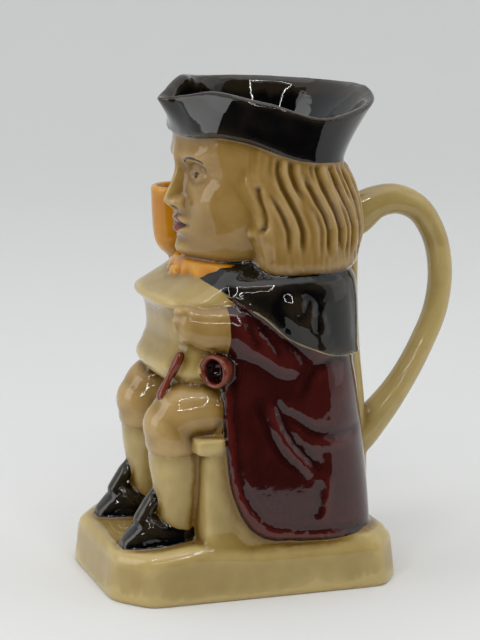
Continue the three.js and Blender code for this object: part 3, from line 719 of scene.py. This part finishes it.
# ---- inside of the vessel, one wall in
hollow = {
    # height, half width, front, back, middle, squareness
    "well": [
        [7, 42, -56, 56, 6, 4],
        [11, 45, -60, 59, 6, 5],
        [16, 45, -59, 59.5, 8, 5],
        [22, 45, -25, 59.5, 14, 5],
        [60, 44.5, -22.5, 58, 18, 3.8],
        [90, 42.5, -19.5, 55, 18, 3],
        [120, 40.5, -17, 52.5, 18, 2.7],
        [143, 38.5, -14, 50.5, 18, 2.5],
        [156, 34.5, -12, 49, 18, 2.3],
        [170, 37, -16.5, 56.5, 16, 2.3],
        [190, 37, -16.5, 51.5, 16, 2.3],
        [203, 37, -17.5, 44.5, 15, 2.3],
        [214, 38, -20, 44, 14, 2.4],
    ],
    "start": 0.12,  # share of the hat's height where the funnel begins
    "lipAt": 0.8,  # rows above this share carry the cut out past the lip
}


def funnel(angle, share, out):
    # the inside of the hat, flaring a little more at the lip
    up = hollow["start"] + (1 - hollow["start"]) * np.clip(share / hollow["lipAt"], 0, 1)
    spots = hatSide(angle, up, hat["wall"] + (hat["brim"] - hat["wall"]) * up - 1.5 * smooth(0.92, 1, up))
    spots[:, 2] += 16 * smooth(hollow["lipAt"], 1, share)
    return capped(spots, share, out, 205, 252)


# ---- one casting out of all the parts
def merged(forms):
    total = bmesh.new()
    for form in forms:
        spare = bpy.data.meshes.new("spare")
        form.to_mesh(spare)
        total.from_mesh(spare)
        bpy.data.meshes.remove(spare)
    return total


def gathered(name, forms):
    total = merged(forms)
    bmesh.ops.scale(total, vec=(mm, mm, mm), verts=total.verts)
    mesh = bpy.data.meshes.new(name)
    total.to_mesh(mesh)
    piece = bpy.data.objects.new(name, mesh)
    bpy.context.scene.collection.objects.link(piece)
    return piece


def settle(piece):
    # the piece's modifiers become its mesh
    evaluated = piece.evaluated_get(bpy.context.evaluated_depsgraph_get())
    mesh = bpy.data.meshes.new_from_object(evaluated)
    piece.modifiers.clear()
    old, piece.data = piece.data, mesh
    bpy.data.meshes.remove(old)


def modify(piece, kind, **settings):
    modifier = piece.modifiers.new(kind.title(), kind)
    for name, value in settings.items():
        setattr(modifier, name, value)


def read(items, field):
    values = np.zeros(len(items) * 3, np.float32)
    items.foreach_get(field, values)
    return values.reshape(-1, 3).astype(float)


def away(spots, forms, reach=4.0):
    # distance in millimetres from the nearest surface of some forms, at most the reach
    total = merged(forms)
    corners = np.array([v.co for v in total.verts])
    surface = BVHTree.FromBMesh(total)
    inReach = ((spots > corners.min(0) - reach) & (spots < corners.max(0) + reach)).all(1)
    distances = np.full(len(spots), reach)
    for i in np.flatnonzero(inReach):
        found = surface.find_nearest(spots[i], reach)[3]
        if found is not None:
            distances[i] = found
    return distances


def allForms(dip):
    return [form for forms in glazes[dip].values() for form in forms]


carving = {
    # side view: a path of y and z, width and height of a fold, a groove's height being negative
    "robe": [
        ([(5.9, 97), (7.2, 89.6), (11.1, 78), (20, 66), (30.4, 57.4)], 2.6, -0.9),
        ([(1, 95), (3.6, 85), (8, 75), (17, 63.6), (25, 57)], 3.0, 0.8),
        ([(-4.7, 98), (0.3, 84.2), (4.7, 73.6), (13.6, 62), (19.5, 57)], 2.5, -0.8),
        ([(31, 57), (30.4, 46), (29.4, 38), (28.1, 30)], 2.4, 0.5),
        ([(26.6, 54), (26, 44), (25, 34)], 2.4, -0.35),
        ([(7.6, 89.5), (15, 83.6), (23, 77.6), (32, 75.4), (46.2, 75.2), (55, 75.6)], 2.6, -0.8),
        ([(20, 71.8), (32, 70.6), (46, 70.8)], 2.6, 0.4),
        ([(43.2, 111), (33.4, 109.3), (27, 107.4), (22.3, 102.6), (19.1, 96.6), (16.3, 92)], 2.2, -0.8),
        ([(-8.5, 132), (-5.7, 124.9), (-1.8, 118)], 1.5, -0.8),
        ([(-2.9, 129), (2.7, 121.6), (8.4, 113)], 1.6, -0.9),
        ([(21.3, 141), (19.9, 135.4), (18.4, 132.4), (13, 131.4)], 2.0, -0.7),
        ([(25.9, 138), (25.4, 130.1), (26.2, 123)], 2.2, -0.6),
        ([(29.4, 140), (29, 130), (31, 121)], 2.2, 0.5),
        ([(46, 148), (48, 132), (49, 114)], 2.6, -0.4),
    ],
    "hand": [
        ([(31.5, -38, 131.4), (35, -34, 131), (38, -28, 130.6)], 0.9, -1.5),
        ([(31, -37.4, 127), (35, -33.4, 126.6), (38, -28.6, 126.6)], 0.9, -1.4),
        ([(32, -35, 122.6), (37, -29, 119.8), (43, -20, 117.6)], 0.9, -0.9),
    ],
    "shoes": [
        ([(36.6, -34, 35), (37, -39, 32), (36.6, -43, 26)], 0.6, -0.4),
        ([(34.6, -48, 37), (36.6, -50.5, 32), (33.5, -55, 32.4)], 0.7, -0.6),
        ([(17.4, -48, 37), (15.4, -50.5, 32), (18.5, -55, 32.4)], 0.7, -0.6),
    ],
    "deepest": -1.5,  # where folds cross, they go no deeper
}


def carve(piece):
    # fine modelling, as moves of the surface along its normals
    mesh = piece.data
    spots, normals = read(mesh.vertices, "co") / mm, read(mesh.vertex_normals, "vector")
    x, y, z = spots.T
    push = np.zeros(len(spots))
    for name, detail in (
        ("hair", lambda at: hairDetail(x[at], y[at], z[at])),
        ("face", lambda at: faceDetail(x[at], z[at]) * smooth(0, -12, y[at])),
    ):
        distance = away(spots, glazes["honey"][name], 2.0)
        at = np.flatnonzero(distance < 1.5)
        push[at] += detail(at) * smooth(1.5, 0.6, distance[at])
    side = np.column_stack([y, z])
    folds = np.maximum(sum(stroke(side, *fold) for fold in carving["robe"]), carving["deepest"])
    push += folds * smooth(24, 40, np.abs(x)) * smooth(1.4, 0.7, away(spots, glazes["cloth"]["robe"], 2.0))
    for path, width, height in carving["hand"]:
        push += stroke(spots, path, width, height)
    for path, width, height in carving["shoes"]:
        far = spots * [-1, 1, 1] - [0, shoe["farBack"], 0]
        push += stroke(spots, path, width, height) + stroke(far, path, width, height)
    carved = (spots + normals * push[:, None]) * mm
    mesh.vertices.foreach_set("co", carved.astype(np.float32).ravel())
    mesh.update()


# how readily faces are given up: on the head and hat, on the near hand, elsewhere, inside and underneath
plainness = {"head": 0.12, "hand": 0.15, "rest": 0.5, "hidden": 0.75}


def thin(piece, triangles):
    # fewer faces, most of all on the inside, with the shading of the fine mesh kept
    mesh = piece.data
    corners, normals = read(mesh.vertices, "co"), read(mesh.vertex_normals, "vector")
    x, y, z = corners.T / mm
    plain = np.where(z > 152, plainness["head"], plainness["rest"])
    plain = np.where((z > 112) & (y < -12) & (x > 24), plainness["hand"], plain)
    inside = away(corners / mm, hollowForms, 1.0) < 0.9
    plain = np.where(inside | (z < 1), plainness["hidden"], plain)
    group = piece.vertex_groups.new(name="plain")
    for value in np.unique(plain):
        group.add(np.flatnonzero(plain == value).tolist(), float(value), "REPLACE")
    count = sum(len(polygon.vertices) - 2 for polygon in mesh.polygons)
    modify(piece, "DECIMATE", ratio=triangles / count, vertex_group="plain", vertex_group_factor=2.0)
    tree = KDTree(len(corners))
    for i, corner in enumerate(corners):
        tree.insert(corner, i)
    tree.balance()
    settle(piece)
    piece.vertex_groups.clear()
    piece.data.shade_smooth()
    nearest = [tree.find(vertex.co)[1] for vertex in piece.data.vertices]
    piece.data.normals_split_custom_set_from_vertices(normals[nearest].tolist())


buildPlinth()
buildBody()
buildDress()
buildLegs()
buildArms()
buildHead()
cast("handle", "cream", limb(handle, 60, 160), limb(rib, 50, 90))
print("modelled", sum(len(forms) for parts in glazes.values() for forms in parts.values()), "forms")

voxel = jug["voxel"] * mm
casting = gathered("toby_jug_casting", [form for glaze in glazes for form in allForms(glaze)])
modify(casting, "REMESH", mode="VOXEL", voxel_size=voxel)
settle(casting)
hollowForms = [stack(hollow["well"], 200, 160), shell(360, 60, funnel)]
vessel = gathered("inside", hollowForms)
modify(vessel, "REMESH", mode="VOXEL", voxel_size=voxel)
settle(vessel)
modify(casting, "BOOLEAN", operation="DIFFERENCE", solver="MANIFOLD", object=vessel)
settle(casting)
bpy.data.objects.remove(vessel)
modify(casting, "REMESH", mode="VOXEL", voxel_size=voxel)
modify(casting, "SMOOTH", factor=0.5, iterations=6)
settle(casting)
print("cast as one:", len(casting.data.vertices), "points")
carve(casting)
print("carved")
thin(casting, jug["triangles"])
print("thinned to", len(casting.data.polygons), "faces")


# ---- glazes
glazing = {
    # sRGB of each layer where it breaks thin over an edge, where it lies even, and where it pools in a groove
    "cream": ("c2ab70", "a68e54", "7f6024"),
    "honey": ("b79862", "94743d", "634618"),
    "lips": ("7a3c30", "60281f", "451a14"),
    "robe": ("521b17", "35110f", "1f0808"),
    "line": ("a08f68", "8c7a54", "6c5a38"),  # thin glaze where black meets maroon
    "cape": ("2a2319", "0a0a0b", "050505"),
    "maroon": ("74341f", "451810", "200907"),
    "amber": ("d69a2e", "c07c10", "8a5206"),
    "black": ("2a2319", "0a0a0b", "050505"),
    "paint": ("231a14", "17110e", "0e0a08"),  # underglaze black for brows and pupils
    "foot": ("cbb896", "c2ae8c", "b4a080"),  # the unglazed underside
    "thinAt": 0.1, "poolAt": 0.95,  # depths, from 0 to 1, that give the first and the last colour
    "roughness": 0.04,
    "lineHalf": 0.3,  # half the width of the thin line, in millimetres
    "wander": 0.3,  # how far a brushed boundary strays, in millimetres
    "settled": (0.34, 0.9, 0.32),  # depth on even ground, and how much a groove and a cloudy flow change it
    "uneven": 0.45,  # height of the surface's waves, in millimetres
    "orangePeel": 0.15,  # the share of fine ones in them
    "cuff": -15.8,  # where the sleeve ends and the hand begins
    "rim": 205,  # black reaches this far down inside the hat
    "mouth": (8.6, 1.2, 5),  # half width of the lips, how fast they narrow, and their half height
    "pupil": 1.5,
    "brow": (202.6, 14.5, 0.6, 14, 7.4),  # the arch's top, middle and half height, the span's middle and half
}


def linear(code):
    values = [int(code[i:i + 2], 16) / 255 for i in (0, 2, 4)]
    return tuple(v / 12.92 if v <= 0.04045 else ((v + 0.055) / 1.055) ** 2.4 for v in values) + (1.0,)


def paintFields(piece):
    # for every point: how far inside each layer it lies, in millimetres, and how deep the glaze pools
    mesh = piece.data
    spots = read(mesh.vertices, "co") / mm
    x, y, z = spots.T
    cream = {name: away(spots, forms) for name, forms in glazes["cream"].items()}
    honey, black, cloth, maroon, amber = (away(spots, allForms(name)) for name in glazes if name != "cream")
    plain = np.minimum.reduce([distance for name, distance in cream.items() if name != "body"])

    def within(own, *others):
        # how much nearer a layer's own forms are than any other
        return np.where(own < 3.9, np.minimum.reduce(others) - own, -4.0)

    side = np.column_stack([y, z])
    above, inCoat = np.clip(aboveCape(side), -4, 4), np.clip(insideCoat(side), -4, 4)
    wholeCream = np.minimum(plain, cream["body"])
    dressed = np.minimum(cloth, np.where(inCoat > 0, cream["body"], 4.0))
    sleeve = (x > 27) & (np.abs(z - 127) < 14) & (y > -26) & (y < -6)  # where the hand leaves the sleeve
    armed = within(np.minimum(honey, cloth), wholeCream)
    robe = np.where(sleeve, np.minimum(armed, y - glazing["cuff"]), within(dressed, plain, honey))
    torso = np.minimum.reduce([cream["body"], cream["waistcoat"], cloth])
    shoulders = within(torso, honey, amber, cream["handle"])
    fields = {
        "honey": np.where(sleeve, armed, within(honey, wholeCream)),
        "robe": robe,
        "cape": np.minimum(above, np.where(sleeve & (honey < torso), -4.0, shoulders)),
        "line": above + 0.2,  # distance either way from the cape's edge
        "maroon": within(maroon, wholeCream, honey, amber, black),
        "amber": within(amber, wholeCream, honey, black, cloth, maroon),
        "black": within(black, wholeCream, honey, cloth, maroon, amber),
    }
    farFromLine = np.copysign(4.0, fields["line"])
    fields["line"] = np.where(sleeve | (honey < 0.5) | (robe < -1.5), farFromLine, fields["line"])
    ring = np.linalg.norm(spots - pocket["middle"], axis=1)
    fields["maroon"] = np.where(ring < pocket["inside"], pocket["inside"] - ring, fields["maroon"])
    inner = away(spots, hollowForms, 2.0) < 1.2
    for name in fields:
        fields[name] = np.where(inner, farFromLine if name == "line" else -4.0, fields[name])
    fields["black"] = np.where(inner, np.clip(z - glazing["rim"], -4, 4), fields["black"])
    front, s, fromMouth, (eyeX, eyeZ) = y < -12, np.abs(x), np.abs(z - face["mouth"]), face["eye"]
    half, narrowing, tall = glazing["mouth"]
    fields["lips"] = np.where(front & (fromMouth < tall), half - narrowing * fromMouth**1.3 - s, -4)
    pupil = glazing["pupil"] - np.hypot(s - eyeX, z - eyeZ + 0.1)
    top, middle, halfHigh, spanMiddle, span = glazing["brow"]
    arch = top - 0.035 * (s - middle) ** 2
    brow = np.minimum(halfHigh - np.abs(z - arch), span - np.abs(s - spanMiddle))
    fields["paint"] = np.where(front, np.maximum(pupil, brow), -4)
    fields["foot"] = 0.35 - z
    fields["pool"] = pooling(mesh, spots)
    for name, values in fields.items():
        attribute = mesh.attributes.new(name, "FLOAT", "POINT")
        attribute.data.foreach_set("value", values.astype(np.float32))


def pooling(mesh, spots):
    # positive in grooves and negative on ridges, from how the surface moves when it is smoothed
    edges = np.zeros(len(mesh.edges) * 2, np.int32)
    mesh.edges.foreach_get("vertices", edges)
    a, b = edges.reshape(-1, 2).T
    count = np.bincount(a, minlength=len(spots)) + np.bincount(b, minlength=len(spots))
    normals = read(mesh.vertex_normals, "vector")

    def average(values):
        # of each point's neighbours
        size = len(spots)
        total = [np.bincount(a, column[b], size) + np.bincount(b, column[a], size) for column in values.T]
        return np.column_stack(total) / count[:, None]

    blurred = spots
    for _ in range(14):
        blurred = (blurred + average(blurred)) / 2
    depth = ((blurred - spots) * normals).sum(1)
    for _ in range(2):
        depth = (depth + average(depth[:, None])[:, 0]) / 2
    return depth


def add(tree, kind, inputs=None, out=0, **settings):
    # adds a shader node with its settings, links or sets its inputs, and gives one of its outputs
    node = tree.nodes.new("ShaderNode" + kind)
    for name, value in settings.items():
        setattr(node, name, value)
    for socket, value in (inputs or {}).items():
        if isinstance(value, bpy.types.NodeSocket):
            tree.links.new(value, node.inputs[socket])
        else:
            node.inputs[socket].default_value = value
    return node.outputs[out]


def glazedEarthenware():
    # lead-type glazes over a buff body: glassy, darker where they pool and paler where they break over edges
    material = bpy.data.materials.new("glazed_earthenware")
    material.use_nodes = True
    tree = material.node_tree
    tree.nodes.remove(tree.nodes["Principled BSDF"])
    onJug = add(tree, "TexCoord", out=3)
    inMm = add(tree, "Mapping", {"Vector": onJug, "Scale": (1000, 1000, 1000)})
    # size of each unevenness in millimetres, with its detail
    brush, cloud, orange, waves, sheen = (
        add(tree, "TexNoise", {"Vector": inMm, "Scale": 1 / grain, "Detail": detail})
        for grain, detail in ((5, 2), (9, 3), (3.2, 2), (11, 1), (7, 2))
    )
    wander, (even, inGroove, inCloud) = glazing["wander"], glazing["settled"]
    stray = add(tree, "Math", {0: brush, 1: 2 * wander, 2: -wander}, operation="MULTIPLY_ADD")
    pool = add(tree, "Attribute", out=2, attribute_name="pool")
    settled = add(tree, "Math", {0: pool, 1: inGroove, 2: even}, operation="MULTIPLY_ADD")
    depth = add(tree, "Math", {0: cloud, 1: inCloud, 2: settled}, operation="MULTIPLY_ADD")
    # the layers from the body outwards, with how softly each one's boundary fades, in millimetres
    for name, soft in (("cream", 0), ("honey", 0.2), ("lips", 0.5), ("robe", 0.12), ("cape", 0.12),
                       ("line", 0.14), ("maroon", 0.15), ("amber", 0.2), ("black", 0.15), ("paint", 0.25),
                       ("foot", 0.1)):
        shade = add(tree, "ValToRGB", {"Fac": depth})
        stops = shade.node.color_ramp.elements
        stops.new(0.5)
        for stop, at, code in zip(stops, (glazing["thinAt"], 0.5, glazing["poolAt"]), glazing[name]):
            stop.position, stop.color = at, linear(code)
        if name == "cream":
            colour = shade
            continue
        reach = add(tree, "Attribute", out=2, attribute_name=name)
        if name == "line":
            far = add(tree, "Math", {0: reach}, operation="ABSOLUTE")
            reach = add(tree, "Math", {0: glazing["lineHalf"], 1: far}, operation="SUBTRACT")
        edge = add(tree, "Math", {0: reach, 1: stray}, operation="ADD")
        cover = add(tree, "MapRange", {"Value": edge, "From Min": -soft, "From Max": soft})
        colour = add(tree, "Mix", {0: cover, 6: colour, 7: shade}, 2, data_type="RGBA")
    peel = glazing["orangePeel"]
    fine = add(tree, "Math", {0: orange, 1: peel}, operation="MULTIPLY")
    uneven = add(tree, "Math", {0: waves, 1: 1 - peel, 2: fine}, operation="MULTIPLY_ADD")
    relief = add(tree, "Bump", {"Height": uneven, "Distance": glazing["uneven"] / 1000, "Strength": 0.5})
    # the reach left over from the last layer is the bare foot's, which is dull
    glossy = add(tree, "Math", {0: sheen, 1: 0.03, 2: glazing["roughness"] - 0.015}, operation="MULTIPLY_ADD")
    bare = add(tree, "Math", {0: reach, 1: 0}, operation="GREATER_THAN")
    rough = add(tree, "Math", {0: bare, 1: 0.6, 2: glossy}, operation="MULTIPLY_ADD")
    surface = {"Base Color": colour, "Roughness": rough, "Normal": relief, "IOR": 1.52}
    skin = add(tree, "BsdfPrincipled", surface)
    tree.links.new(skin, tree.nodes["Material Output"].inputs["Surface"])
    return material


paintFields(casting)
casting.name = "toby_jug_glazed"
casting.data.name = "toby_jug_glazed"
casting.data.materials.clear()
casting.data.materials.append(glazedEarthenware())
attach(casting, "root")
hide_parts("toby_jug")
print("glazed")

# ---- studio: a pale bowl of a floor, soft panels, a frame of thin lamps and dark drapes on the camera's side
studio = {
    "radius": 2.6, "rise": 1.5, "floor": "e9e9e7",
    "aim": (0, 5.6, 121.6), "from": (880.6, -320.1, 321.1), "lens": 112.5,
    # place, width, height in metres and watts of the soft panels
    "panels": {
        "sky_panel": ((0.1, 0.1, 1.5), 1.5, 1.5, 5),
        "left_panel": ((0.0, -1.35, 0.6), 1.3, 1.0, 7),
        "right_panel": ((0.35, 1.35, 0.55), 1.1, 1.0, 1.2),
    },
    "lampsUp": 40, "lampsAway": 800, "lampsHalf": (330, 250), "lampWide": 5,
    "longLamp": 0.8, "shortLamp": 0.6,  # watts of the thin lamps
    # distance from the jug and height at both ends of each drape
    "drapes": {"hung_drape": ((1250, 2), (1250, 1400)), "laid_drape": ((330, 2), (1250, 2))},
    "drapeHalf": 62, "drape": "0c0c0d",  # how far round they reach in degrees, and their black
    "air": (0.8, 0.82, 0.84, 1), "airStrength": 0.85,
}


def matt(name, code):
    # painted board: even, with no shine
    material = bpy.data.materials.new(name)
    material.use_nodes = True
    skin = material.node_tree.nodes["Principled BSDF"]
    skin.inputs["Base Color"].default_value = linear(code)
    skin.inputs["Roughness"].default_value = 0.85
    skin.inputs["Specular IOR Level"].default_value = 0.1
    return material


def buildFloor():
    radius, rise = studio["radius"], studio["rise"]
    profile = [(0, 0), (0.3, 0), (0.7, 0), (radius * 0.5, 0)]
    for step in range(1, 13):
        a = math.pi / 2 * step / 12
        profile.append((radius * (0.5 + 0.5 * math.sin(a)), rise * (1 - math.cos(a))))
    form = turned(profile, 96)
    mesh = bpy.data.meshes.new("studio_floor")
    form.to_mesh(mesh)
    floor = bpy.data.objects.new("studio_floor", mesh)
    bpy.context.scene.collection.objects.link(floor)
    mesh.materials.append(matt("painted_board", studio["floor"]))
    mesh.shade_smooth()


def cameraSide(up, distance):
    # a place on the camera's side of the jug, at some degrees above its middle
    x, y, _ = studio["from"]
    level = Vector((x, y, 0)).normalized() * math.cos(math.radians(up))
    return (level + Vector((0, 0, math.sin(math.radians(up))))) * distance * mm + Vector(studio["aim"]) * mm


def buildDrapes():
    # black cloth hung behind the camera and laid in front of it: seen in the glaze and never by the camera
    half, toCamera = math.radians(studio["drapeHalf"]), math.atan2(studio["from"][1], studio["from"][0])
    cloth = matt("black_cloth", studio["drape"])
    for name, ((near, low), (far, high)) in studio["drapes"].items():
        form = bmesh.new()
        bmesh.ops.create_grid(form, x_segments=24, y_segments=1, size=1)
        for vertex in form.verts:
            turn, share = toCamera + half * vertex.co.x, (vertex.co.y + 1) / 2
            reach = near + (far - near) * share
            spot = Vector((reach * math.cos(turn), reach * math.sin(turn), low + (high - low) * share))
            vertex.co = spot * mm
        mesh = bpy.data.meshes.new(name)
        form.to_mesh(mesh)
        drape = bpy.data.objects.new(name, mesh)
        bpy.context.scene.collection.objects.link(drape)
        drape.visible_camera = False
        drape.visible_diffuse = drape.visible_shadow = name == "hung_drape"
        mesh.materials.append(cloth)


def light(name, spot, width, height, power, shift=(0, 0)):
    # faces the jug's middle; the shift moves it across its own plane
    lamp = bpy.data.lights.new(name, "AREA")
    lamp.shape, lamp.size, lamp.size_y, lamp.energy = "RECTANGLE", width, height, power
    holder = bpy.data.objects.new(name, lamp)
    bpy.context.scene.collection.objects.link(holder)
    turn = (Vector(studio["aim"]) * mm - Vector(spot)).to_track_quat("-Z", "Y")
    holder.location = Vector(spot) + turn @ Vector((*shift, 0))
    holder.rotation_euler = turn.to_euler()


def buildStudio():
    buildFloor()
    buildDrapes()
    for name, panel in studio["panels"].items():
        light(name, *panel)
    (halfX, halfY), wide = (Vector(studio["lampsHalf"]) * mm), studio["lampWide"] * mm
    spot = cameraSide(studio["lampsUp"], studio["lampsAway"])
    for sign, name in ((-1, "near"), (1, "far")):
        light(f"{name}_long_lamp", spot, 2 * halfX, wide, studio["longLamp"], (0, sign * halfY))
        light(f"{name}_short_lamp", spot, wide, 2 * halfY, studio["shortLamp"], (sign * halfX, 0))
    world = bpy.data.worlds.new("studio_air")
    world.use_nodes = True
    air = world.node_tree.nodes["Background"]
    air.inputs["Color"].default_value = studio["air"]
    air.inputs["Strength"].default_value = studio["airStrength"]
    bpy.context.scene.world = world
    lens = bpy.data.cameras.new("studio_camera")
    lens.lens, lens.sensor_width = studio["lens"], 36
    camera = bpy.data.objects.new("studio_camera", lens)
    bpy.context.scene.collection.objects.link(camera)
    camera.location = Vector(studio["from"]) * mm
    aim = Vector(studio["aim"]) * mm
    camera.rotation_euler = (aim - camera.location).to_track_quat("-Z", "Y").to_euler()
    bpy.context.scene.camera = camera
    bpy.context.scene.view_settings.view_transform = "Standard"


buildStudio()
print("lit")
